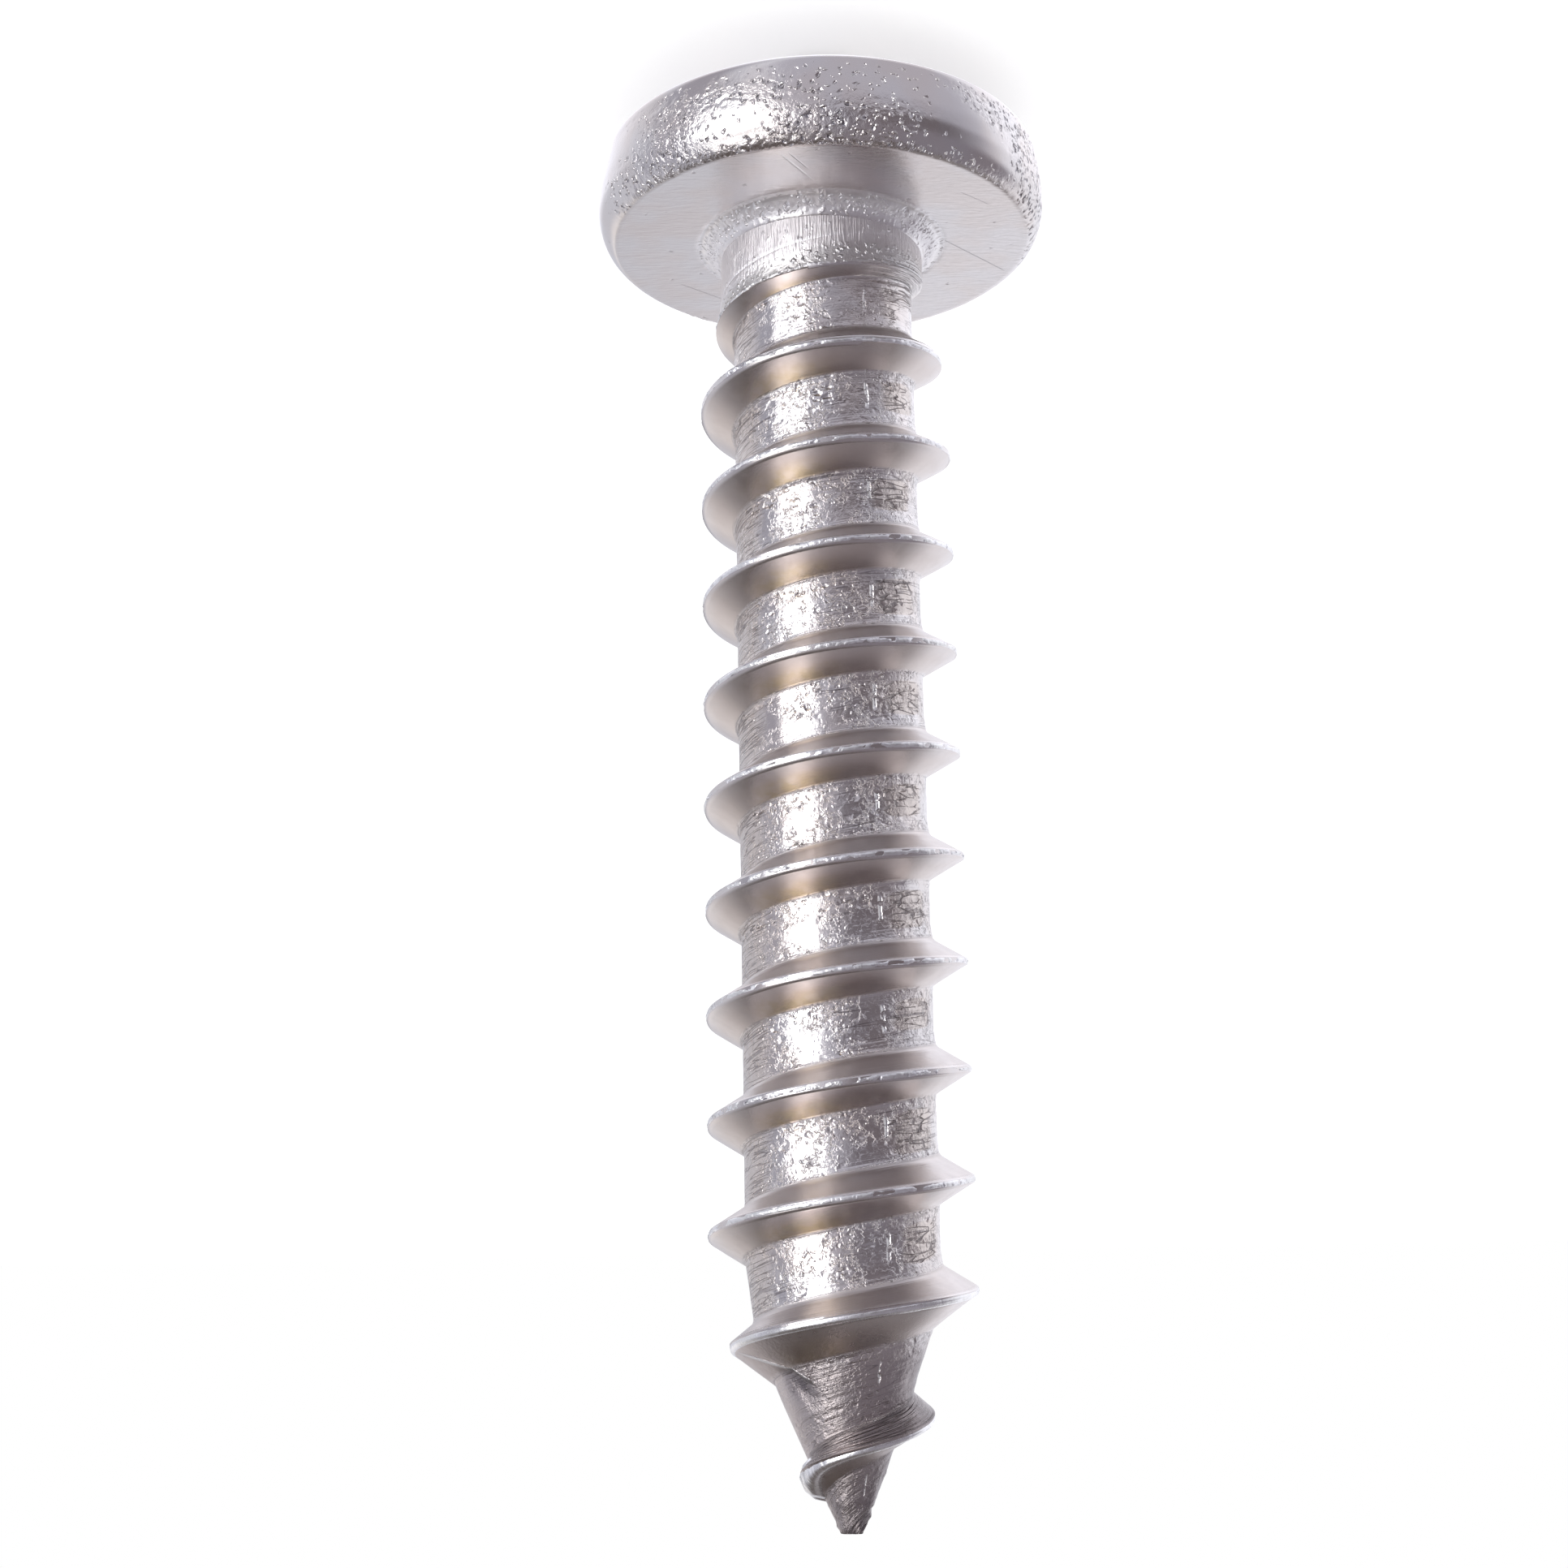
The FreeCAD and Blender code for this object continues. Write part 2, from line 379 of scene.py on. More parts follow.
def point_marks(g):
    """Roughness of the point and its blunt end, and the flap where the last full turn folded over."""
    flap_height, hollow_depth = 0.10, 0.09
    push = g.point * 0.008 * rough(g.x, g.y, g.z, 0.6, 61, 2)
    lumps = 0.050 * rough(g.x, g.y, g.z, 0.42, 62, 3)
    push += g.near_tip * (lumps + 0.035 * (grains(g.x, g.y, g.z, 0.3, 64, 0.7) - 0.3))
    strands = noise(g.along / 1.5, g.share / 0.17, 9, 63)
    on_last_turns = g.head_flank * soft_step(g.z, tip_z - 2.9, tip_z - 2.1) * bell(g.share, 0.5, 0.55)
    push += on_last_turns * 0.045 * strands
    # Distance down the flank and across the groove, and how far that is beyond the slanting edge of the flap
    flank_length, far_away = 0.75, 9
    strips = [g.strip == CREST, g.strip == TIP_FLANK, g.strip == GROOVE]
    down = np.select(strips, [0 * g.share, g.share * flank_length, flank_length + g.across], far_away)
    beyond = down - (0.33 + 7.2 * (9.93 - g.turns))
    g.at_fold = soft_step(g.turns, 9.82, 9.84) * soft_step(9.97 - g.turns, 0, 0.04)
    g.hollow = bell(g.turns, 9.862, 0.055) * soft_step(beyond, 0.0, 0.08) * soft_step(0.62 - beyond, 0, 0.35)
    g.hollow = g.hollow * (g.strip < HEAD_FLANK)
    g.beyond_fold = np.clip(beyond, -1, 1)
    flap = g.at_fold * soft_step(-beyond, 0.0, 0.06) * soft_step(down, 0.30, 0.75)
    return push + flap_height * flap - hollow_depth * g.hollow


def ridge_foot(g):
    """Where the ridge's foot reaches further down the point: on the last full turn and at the crest's end."""
    in_groove = np.where(g.strip == GROOVE, 1 - soft_step(g.share, 0, 0.72), 0)
    at_foot = np.where(g.strip == TIP_FLANK, g.share, in_groove)
    last_full_turn = soft_step(g.turns, 9.2, 9.5) * (1 - soft_step(g.turns, 10.08, 10.30))
    return at_foot * (last_full_turn + 0.9 * bell(g.turns, 10.98, 0.26))


def add_fillet(g, radius, z):
    """Hollows out the corner where the core meets the flank on the head's side of the next crest."""
    fillet_reach, least_reach = 0.15, 1e-6
    next_z = crest_height(g.turns + 1)
    ridge = np.maximum(crest_radius(g.turns + 1, next_z) - root_radius(g.turns, next_z), 0)
    reach = fillet_reach * np.clip(ridge / 0.6, 0, 1) + least_reach
    in_groove = np.clip(1 - (1 - g.share) * groove_width / reach, 0, 1) * (g.strip == GROOVE)
    on_flank = np.clip(1 - g.share * ridge / math.cos(flank_angle) / reach, 0, 1) * (g.strip == HEAD_FLANK)
    height = 0.30 * reach * (in_groove**2 + on_flank**2)
    # Outwards from the groove and square to the flank, turning to the middle between them in the corner
    sine, cosine = math.sin(flank_angle), math.cos(flank_angle)
    outwards = np.where(g.strip == GROOVE, 1 - (1 - cosine) * in_groove, sine + (cosine - sine) * on_flank)
    headwards = np.where(g.strip == GROOVE, sine * in_groove, cosine - (cosine - sine) * on_flank)
    return radius + height * outwards, z - height * headwards


def shank_shape(g):
    """Radius and height of every point with all marks. Adds the masks that the material reads to the grid."""
    flank_waves, foot_slide, foot_sink, least_radius = 0.007, 0.27, 0.09, 0.02
    add_regions(g)
    on_flank = ((g.strip == TIP_FLANK) | (g.strip == HEAD_FLANK)) * soft_step(g.share, 0.05, 0.3)
    on_flank = on_flank * soft_step(1 - g.share, 0.02, 0.25)
    foot = ridge_foot(g)
    slide = on_flank * flank_waves * rough(g.x, g.y, g.z, 1.3, 21, 2) + foot_slide * foot
    push = groove_marks(g) + neck_marks(g) + point_marks(g) - foot_sink * foot
    radius, z = add_fillet(g, g.radius, g.z)
    radius = np.maximum(radius + push, least_radius)
    z = z + slide
    for past, end in ((np.maximum(z - tip_z, 0), tip_z), (np.maximum(shank_low_z - z, 0), shank_low_z)):
        z = np.where(past > 0, end, z)
        radius = radius * np.clip(1 - past / closing_width, 0, 1)
    return radius, z


def make_shank():
    grid = shank_grid()
    radius, z = shank_shape(grid)
    steps, rows = radius.shape
    points = bent_points(radius, grid.angle, z).reshape(-1, 3)
    index = np.arange(steps * rows).reshape(steps, rows)
    # The last row of a turn joins the first row of the next turn
    beside = np.full((steps, rows), -1)
    beside[:, :-1] = index[:, 1:]
    beside[: steps - steps_per_turn, -1] = index[steps_per_turn:, 0]
    quads = np.stack([index[:-1], index[1:], beside[1:], beside[:-1]], axis=-1).reshape(-1, 4)
    quads = quads[(quads >= 0).all(axis=1)]
    # Faces that shrank to nothing where the ends close are left out
    extent = np.ptp(points[quads], axis=1)
    quads = quads[(extent > least_face).any(axis=1)]
    mesh = make_mesh("shank", points, quads)
    for name in SHANK_MASKS:
        add_float(mesh, name, getattr(grid, name))
    add_vector(mesh, "helix", np.stack([grid.along, grid.across, 0 * grid.across], axis=-1))
    tidy_mesh(mesh)
    return mesh


# The lip: what the rolls pushed up along the thread's edge, chipped and bent over

lip_steps_per_turn = 430
lip_start_turns = -0.52
lip_end_turns = 11.13
lip_half_width = 0.11
lip_foot_depth = 0.26
# Its section, across the crest and below its top, from the head's side round to the point's side
LIP_SECTION = (
    (-0.105, -0.200), (-0.092, -0.085), (-0.055, -0.020), (0.0, 0.0),
    (0.055, -0.020), (0.092, -0.085), (0.105, -0.200),
)


def make_lip():
    count = int((lip_end_turns - lip_start_turns) * lip_steps_per_turn)
    turns = np.linspace(lip_start_turns, lip_end_turns, count)
    angle = 2 * math.pi * turns
    along = angle * major_radius
    centre_z = crest_height(turns) + crest_half_width(turns) - crest_width / 2
    top = crest_radius(turns, centre_z)
    # It thickens on the point, and ends in a knob
    knob = bell(turns, 11.0, 0.13)
    ridge = np.where(turns < 0.5, 1.0, top - root_radius(turns, centre_z))
    size = soft_step(turns, lip_start_turns, lip_start_turns + 0.35) * np.clip(ridge / 0.35, 0, 1)
    size = np.maximum(size, 0.9 * knob) * soft_step(lip_end_turns - turns, 0, 0.04)
    size = size * (1 + 0.3 * soft_step(turns, 9.0, 9.6) + 1.3 * soft_step(turns, 10.72, 10.95))
    broadened = 1 + 0.8 * bell(turns, 10.98, 0.16)
    # It is worn unevenly along the thread, and hardly at all on the point
    worn = 0.55 + 0.55 * soft_step(noise(along / 2.6, 0, 0, 85), -0.3, 0.5)
    worn = worn * (1 - 0.88 * soft_step(turns, 9.35, 9.6))
    ring = []
    for number, (aside, below) in enumerate(LIP_SECTION):
        bite = np.maximum(rough(along, 0.35 * number, 0, 0.34, 81, 3) - 0.10, 0)
        nick = rough(along, 0.6 * number, 0, 0.16, 82, 2)
        wave = rough(along, 0.22 * number, 0, 0.45, 83, 3)
        outer = 1 - abs(aside) / lip_half_width
        drop = (below - worn * outer * (0.20 * bite + 0.032 * (nick + 0.4))) * size
        drift = aside + 0.030 * wave * (0.3 + outer) * worn
        radius = np.minimum(top + drop + 0.10 * knob * outer, major_radius)
        ring.append(bent_points(radius, angle, centre_z + drift * size * broadened))
    ring.append(bent_points(top - lip_foot_depth * size, angle, centre_z))
    rows = len(ring)
    index = np.arange(count * rows).reshape(count, rows)
    beside = np.roll(index, -1, axis=1)
    quads = np.stack([index[:-1], index[1:], beside[1:], beside[:-1]], axis=-1).reshape(-1, 4)
    mesh = make_mesh("lip", np.stack(ring, axis=1).reshape(-1, 3), quads)
    add_float(mesh, "worn", np.repeat(worn[:, None], rows, axis=1))
    tidy_mesh(mesh)
    return mesh


# Head

head_steps = 560
CROWN, SIDE, FACE, COLLAR, INSIDE = range(5)
crown_rows = 26
shoulder_radius = 5.42
# The side and the rounded rim, from the crown's shoulder to the bearing face
SIDE_OUTLINE = (
    (5.50, 1.43), (5.545, 1.56), (5.58, 1.76), (5.625, 2.05), (5.66, 2.40), (5.667, 2.70), (5.66, 2.90),
    (5.625, 3.08), (5.57, 3.24), (5.495, 3.38), (5.405, 3.495), (5.31, 3.575), (5.25, 3.60),
)
# The collar and flare, from the bearing face to just inside the neck
COLLAR_OUTLINE = (
    (3.12, 3.60), (3.05, 3.605), (2.985, 3.635), (2.93, 3.685), (2.86, 3.73), (2.78, 3.785),
    (2.70, 3.85), (2.64, 3.92), (2.60, 3.99), (2.55, 4.04), (2.50, 4.06),
)
inner_end_z = 4.16
pole_radius = 0.02


def straight(start, end, count):
    """Evenly spaced points on a line, without its end."""
    shares = [k / count for k in range(count)]
    return [(start[0] + (end[0] - start[0]) * s, start[1] + (end[1] - start[1]) * s) for s in shares]


def spline(corners, count):
    """Evenly spaced points on a smooth curve through the corners."""
    corners = np.array(corners, float)
    ends = np.vstack([2 * corners[0] - corners[1], corners, 2 * corners[-1] - corners[-2]])
    dense = []
    for k in range(1, len(ends) - 2):
        p0, p1, p2, p3 = ends[k - 1 : k + 3]
        for s in np.arange(24) / 24:
            squared = (2 * p0 - 5 * p1 + 4 * p2 - p3) * s**2
            cubed = (3 * p1 - p0 - 3 * p2 + p3) * s**3
            dense.append(0.5 * (2 * p1 + (p2 - p0) * s + squared + cubed))
    dense = np.array(dense + [corners[-1]])
    length = np.concatenate([[0], np.cumsum(np.linalg.norm(np.diff(dense, axis=0), axis=1))])
    wanted = np.linspace(0, length[-1], count)
    return np.stack([np.interp(wanted, length, dense[:, k]) for k in (0, 1)], axis=1)


def head_profile():
    """Radius, height and zone of each point from the crown's centre round the outside into the neck."""
    sphere_z = (crown_edge_radius**2 + crown_edge_z**2 - top_flat_radius**2) / (2 * crown_edge_z)
    sphere_radius = math.hypot(top_flat_radius, sphere_z)
    radii = np.linspace(top_flat_radius, shoulder_radius, crown_rows + 1)
    crown = [(r, sphere_z - math.sqrt(sphere_radius**2 - r**2)) for r in radii]
    face_edge, collar_foot = SIDE_OUTLINE[-1], (3.10, bearing_z)
    inner_end = (COLLAR_OUTLINE[-1][0], inner_end_z)
    stretches = (
        (CROWN, straight((pole_radius, 0), (top_flat_radius, 0), 6)),
        (CROWN, crown[:-1]),
        (SIDE, spline([crown[-1], *SIDE_OUTLINE], 64)[:-1]),
        (FACE, straight(face_edge, collar_foot, 26)),
        (COLLAR, spline(COLLAR_OUTLINE, 20)),
        (INSIDE, straight(inner_end, (pole_radius, inner_end_z), 4)),
        (INSIDE, [(pole_radius, inner_end_z)]),
    )
    return np.array([(r, z, zone) for zone, stretch in stretches for r, z in stretch])


def forged_share(turn, x, y, z):
    """How rough the forging left each place of the head's side, from 0 to 1."""
    around = np.degrees(turn) + 5 * noise(x / 0.8, y / 0.8, z / 0.8, 70)
    # Clusters on the visible side, a fan that widens towards its end, and a little on the hidden side
    clusters = 2.4 * bell(around, 318, 30) * bell(z, 3.10, 0.85)
    clusters = clusters + 0.9 * bell(around, 298, 36) * bell(z, 2.25, 0.50)
    clusters = clusters + 1.1 * bell(around, 264, 36) * bell(z, 3.15, 0.65)
    fan_top = 1.9 + (240 - around) * 0.042
    fan = 1.5 * soft_step(fan_top - z, -0.1, 0.2) * bell(around, 200, 52)
    hidden = 0.6 * bell(around, 60, 50) + 0.5 * bell(around, 125, 40)
    near_rim = 0.9 * bell(z, 3.50, 0.22) * bell(around, 265, 110)
    even = 0.40 * soft_step(328 - around, 0, 10) * soft_step(around, 238, 262)
    patches = soft_step(rough(x, y, z, 0.9, 71, 2), -0.35, 0.15)
    smooth = 0.9 * bell(around, 292, 17) * bell(z, 2.95, 0.75)
    share = even + (clusters + fan + hidden) * (0.5 + 0.5 * patches) + near_rim
    return np.clip(share, 0, 1) * (1 - smooth)


def head_blank():
    """The head before the recess is sunk into it."""
    profile = head_profile()
    rows = len(profile)
    slope = np.gradient(profile[:, :2], axis=0)
    slope /= np.linalg.norm(slope, axis=1)[:, None] + 1e-12
    turn = np.repeat(2 * math.pi * np.arange(head_steps)[:, None] / head_steps, rows, axis=1)
    r, z, zone = [np.repeat(profile[None, :, k], head_steps, axis=0) for k in range(3)]
    x, y = r * np.cos(turn), r * np.sin(turn)
    side = (zone == SIDE) * soft_step(z, 1.5, 1.75)
    collar = (zone == COLLAR) * bell(z, 3.8, 0.35)
    crown = (zone == CROWN) * soft_step(r, 2.2, 4.6)
    face = (zone == FACE) * soft_step(r, 3.0, 3.4) * soft_step(5.2 - r, 0, 0.4)
    forged = forged_share(turn, x, y, z) * side
    height = side * 0.005 * rough(x, y, z, 0.9, 72, 2)
    height += forged * 0.026 * grains(x, y, z, 0.26, 73, 0.75)
    height -= forged * 0.032 * grains(x, y, z, 0.22, 78, 0.75)
    height += collar * (0.040 * grains(x, y, z, 0.16, 75, 0.8) - 0.020 + 0.020 * rough(x, y, z, 0.30, 79, 2))
    height += crown * 0.004 * rough(x, y, z, 0.5, 76, 3)
    height += face * 0.002 * rough(x, y, z, 1.8, 77, 2)
    # Where the side is widest hardly anything stands out, so that the head keeps its size
    height -= np.maximum(height, 0) * soft_step(r, 5.60, 5.66) * 0.9
    r = np.minimum(r + height * slope[None, :, 1], head_radius)
    z = np.clip(z - height * slope[None, :, 0], 0, inner_end_z)
    points = np.stack([r * np.cos(turn), r * np.sin(turn), z], axis=-1).reshape(-1, 3)
    index = np.arange(head_steps * rows).reshape(head_steps, rows)
    following = np.roll(index, -1, axis=0)
    quads = np.stack([index[:, :-1], following[:, :-1], following[:, 1:], index[:, 1:]], axis=-1)
    mesh = make_mesh("head", points, quads.reshape(-1, 4), [index[::-1, 0], index[:, -1]])
    for name, values in (("forged", forged), ("collar", collar), ("face", zone == FACE)):
        add_float(mesh, name, values)
    tidy_mesh(mesh)
    return mesh


def wing_cutter(turned):
    """Two opposite wings of the cross recess, turned about the axis by some degrees."""
    work = bmesh.new()
    rings = []
    for z in (-overcut, recess_depth):
        half_length = recess_half_width - z * math.tan(wing_end_slope)
        half_width = wing_floor_half_width + (recess_depth - z) * math.tan(wing_draft)
        signs = ((1, 1), (-1, 1), (-1, -1), (1, -1))
        rings.append([work.verts.new(Vector((a * half_length, b * half_width, z)) * MM) for a, b in signs])
    low, high = rings
    work.faces.new(low)
    work.faces.new(high[::-1])
    for k in range(4):
        following = (k + 1) % 4
        work.faces.new([low[k], high[k], high[following], low[following]])
    bmesh.ops.rotate(work, verts=work.verts, matrix=Matrix.Rotation(math.radians(turned), 3, "Z"))
    return work


def core_cutter():
    """The drafted core of the recess, which ends in a shallow cone."""
    sides = 64
    mouth_radius = recess_core_radius + (recess_depth + overcut) * math.tan(recess_core_draft)
    cone_height = recess_core_radius / math.tan(recess_cone_half_angle)
    work = bmesh.new()
    rings = []
    for z, radius in ((-overcut, mouth_radius), (recess_depth, recess_core_radius)):
        angles = [2 * math.pi * k / sides for k in range(sides)]
        corners = [Vector((radius * math.cos(a), radius * math.sin(a), z)) for a in angles]
        rings.append([work.verts.new(corner * MM) for corner in corners])
    mouth, floor = rings
    apex = work.verts.new((0, 0, (recess_depth + cone_height) * MM))
    work.faces.new(mouth)
    for k in range(sides):
        following = (k + 1) % sides
        work.faces.new([mouth[k], floor[k], floor[following], mouth[following]])
        work.faces.new([floor[k], apex, floor[following]])
    return work


def make_object(name, data):
    thing = bpy.data.objects.new(name, data)
    bpy.context.scene.collection.objects.link(thing)
    return thing


def make_head():
    """The head with the cross recess sunk into its crown."""
    head = make_object("head_blank", head_blank())
    bpy.context.view_layer.objects.active = head
    head.select_set(True)
    for number, work in enumerate((wing_cutter(0), wing_cutter(90), core_cutter())):
        bmesh.ops.recalc_face_normals(work, faces=work.faces)
        mesh = bpy.data.meshes.new(f"cutter_{number}")
        work.to_mesh(mesh)
        work.free()
        cutter = make_object(mesh.name, mesh)
        modifier = head.modifiers.new(cutter.name, "BOOLEAN")
        modifier.operation = "DIFFERENCE"
        modifier.solver = "EXACT"
        modifier.object = cutter
        bpy.ops.object.modifier_apply(modifier=modifier.name)
        bpy.data.objects.remove(cutter)
    mesh = head.data.copy()
    bpy.data.objects.remove(head)
    return mesh


# Materials

class Nodes:
    """Short ways to place and link shader nodes."""

    def __init__(self, tree):
        self.tree = tree
        tree.nodes.clear()

    def new(self, kind, **settings):
        node = self.tree.nodes.new(kind)
        for name, value in settings.items():
            setattr(node, name, value)
        return node

    def put(self, socket, value):
        if hasattr(value, "is_linked"):
            self.tree.links.new(value, socket)
        else:
            socket.default_value = value

    def filled(self, kind, values, **settings):
        """A new node with some of its inputs set or linked, by name or number."""
        node = self.new(kind, **settings)
        for name, value in values.items():
            self.put(node.inputs[name], value)
        return node

    def math(self, operation, *values, clamp=False):
        inputs = dict(enumerate(values))
        return self.filled("ShaderNodeMath", inputs, operation=operation, use_clamp=clamp).outputs[0]

    def plus(self, a, b):
        return self.math("ADD", a, b)

    def joined(self, a, b):
        """Sum of two masks, but no more than 1."""
        return self.math("ADD", a, b, clamp=True)

    def most(self, a, b):
        return self.math("MAXIMUM", a, b)

    def times(self, value, *others):
        for other in others:
            value = self.math("MULTIPLY", value, other)
        return value

    def off(self, value, centre):
        """How far a value is from a centre, on either side."""
        return self.math("ABSOLUTE", self.math("SUBTRACT", value, centre))

    def step(self, value, start, end, low=0.0, high=1.0):
        values = {"Value": value, "From Min": start, "From Max": end, "To Min": low, "To Max": high}
        return self.filled("ShaderNodeMapRange", values, interpolation_type="SMOOTHSTEP").outputs[0]

    def vectors(self, operation, *values):
        return self.filled("ShaderNodeVectorMath", dict(enumerate(values)), operation=operation).outputs

    def scaled(self, vector, scale):
        return self.vectors("MULTIPLY", vector, scale)[0]

    def mask(self, name):
        return self.new("ShaderNodeAttribute", attribute_name=name).outputs["Fac"]

    def noise_of(self, vector, scale, detail, roughness):
        values = {"Vector": vector, "Scale": scale, "Detail": detail, "Roughness": roughness}
        return self.filled("ShaderNodeTexNoise", values).outputs

    def noise(self, vector, scale, detail=3.0, roughness=0.55):
        return self.noise_of(vector, scale, detail, roughness)["Fac"]

    def jumbled(self, vector, scale, amount):
        """The vector shifted about by noise, so that what it carries is irregular."""
        shift = self.noise_of(vector, scale, 2.0, 0.5)["Color"]
        return self.vectors("MULTIPLY_ADD", shift, (amount, amount, amount), vector)[0]

    def cells(self, vector, scale, feature):
        values = {"Vector": vector, "Scale": scale}
        return self.filled("ShaderNodeTexVoronoi", values, feature=feature).outputs

    def flecks(self, vector, scale, share, reach=0.36):
        """Separate small grains, one in a share of the cells: 1 in the middle, 0 outside."""
        cells = self.cells(vector, scale, "F1")
        lot = self.filled("ShaderNodeSeparateColor", {0: cells["Color"]}).outputs[0]
        return self.times(self.step(cells["Distance"], reach, 0.06), self.math("LESS_THAN", lot, share))

    def split(self, vector):
        return self.filled("ShaderNodeSeparateXYZ", {0: vector}).outputs

    def scratch(self, place, start, end, half_width):
        """A thin straight mark in the plane across the axis: 1 along its middle."""
        fade = 0.3
        start, end = Vector((*start, 0)), Vector((*end, 0))
        length = (end - start).length
        way = (end - start) / length
        offset = self.vectors("SUBTRACT", self.scaled(place, (1, 1, 0)), start)[0]
        along = self.vectors("DOT_PRODUCT", offset, way)["Value"]
        aside = self.vectors("DOT_PRODUCT", offset, (-way.y, way.x, 0))["Value"]
        near = self.step(self.math("ABSOLUTE", aside), half_width, 0.0)
        return self.times(near, self.step(self.off(along, length / 2), length / 2, length / 2 - fade))

    def mix(self, share, a, b):
        return self.filled("ShaderNodeMix", {0: share, 6: a, 7: b}, data_type="RGBA").outputs[2]

    def coated(self, colour, coats):
        """Colours laid over each other. Each coat is where it shows, how much of it, and its colour."""
        for where, amount, coat in coats:
            colour = self.mix(self.times(where, amount), colour, coat)
        return colour

    def raised(self, value, parts):
        """The value, raised by an amount over each mask."""
        for mask, amount in parts:
            value = self.plus(value, self.times(mask, amount))
        return value

    def relief(self, layers):
        """Bumps laid over each other. Each layer is its height, its depth, and where it shows."""
        normal = None
        for height, depth, strength in layers:
            values = {"Height": height, "Distance": depth * MM, "Strength": strength}
            if normal is not None:
                values["Normal"] = normal
            normal = self.filled("ShaderNodeBump", values).outputs["Normal"]
        return normal

    def object_mm(self):
        """The point's place in millimetres."""
        place = self.new("ShaderNodeTexCoord").outputs["Object"]
        return self.scaled(place, (1 / MM, 1 / MM, 1 / MM))


STEEL = (0.725, 0.67, 0.645, 1)
STEEL_COOL = (0.73, 0.70, 0.695, 1)
STEEL_BARE = (0.86, 0.85, 0.84, 1)
# Near white: a painted highlight on the neck and the collar
STEEL_PAINTED_HIGHLIGHT = (0.97, 0.95, 0.96, 1)
# Near white: a painted sheen along the thread's lip
STEEL_PAINTED_LIP_SHEEN = (0.95, 0.94, 0.95, 1)
# Darker and warmer: painted shade on the flanks
STEEL_PAINTED_FLANK_SHADE = (0.635, 0.57, 0.54, 1)
STEEL_WORN = (0.66, 0.59, 0.54, 1)
# Golden: a painted reflection, the glow of the core's highlight on the flanks
STEEL_PAINTED_GLOW = (0.55, 0.46, 0.31, 1)
# Darker: painted shade over the point
STEEL_POINT_PAINTED_SHADE = (0.46, 0.40, 0.39, 1)
# Darkest: painted shade on one side of the point and at its blunt end
STEEL_PAINTED_SIDE_SHADE = (0.20, 0.175, 0.18, 1)
# Dark: painted shade in the hollow under the fold on the point
STEEL_PAINTED_HOLLOW_SHADE = (0.16, 0.14, 0.15, 1)
STEEL_DARK = (0.28, 0.25, 0.25, 1)
# Dark: painted shade in the head's pits
STEEL_PAINTED_PIT_SHADE = (0.24, 0.23, 0.27, 1)
STEEL_CHIPS = (0.24, 0.22, 0.27, 1)
# Sides of the screw that the groove's marks keep to, and the side where the flanks get a painted golden glow,
# as shares of a turn
scar_side = 244 / 360
painted_glow_side = 0.812
streaked_side = 0.96
# Straight scratches on the bearing face: both ends and half the width
FACE_SCRATCHES = (
    ((1.06, -4.95), (0.17, -3.45), 0.050),
    ((0.86, -5.00), (0.30, -4.05), 0.035),
    ((-2.85, -0.60), (-4.90, 1.60), 0.022),
    ((-3.30, -2.90), (-4.20, -2.10), 0.012),
    ((2.10, 3.40), (3.80, 1.90), 0.018),
)


def steel_material(name, build):
    material = bpy.data.materials.new(name)
    material.use_nodes = True
    n = Nodes(material.node_tree)
    colour, roughness, normal = build(n)
    values = {"Metallic": 1.0, "Base Color": colour, "Roughness": roughness, "Normal": normal}
    shader = n.filled("ShaderNodeBsdfPrincipled", values)
    n.filled("ShaderNodeOutputMaterial", {"Surface": shader.outputs[0]})
    return material


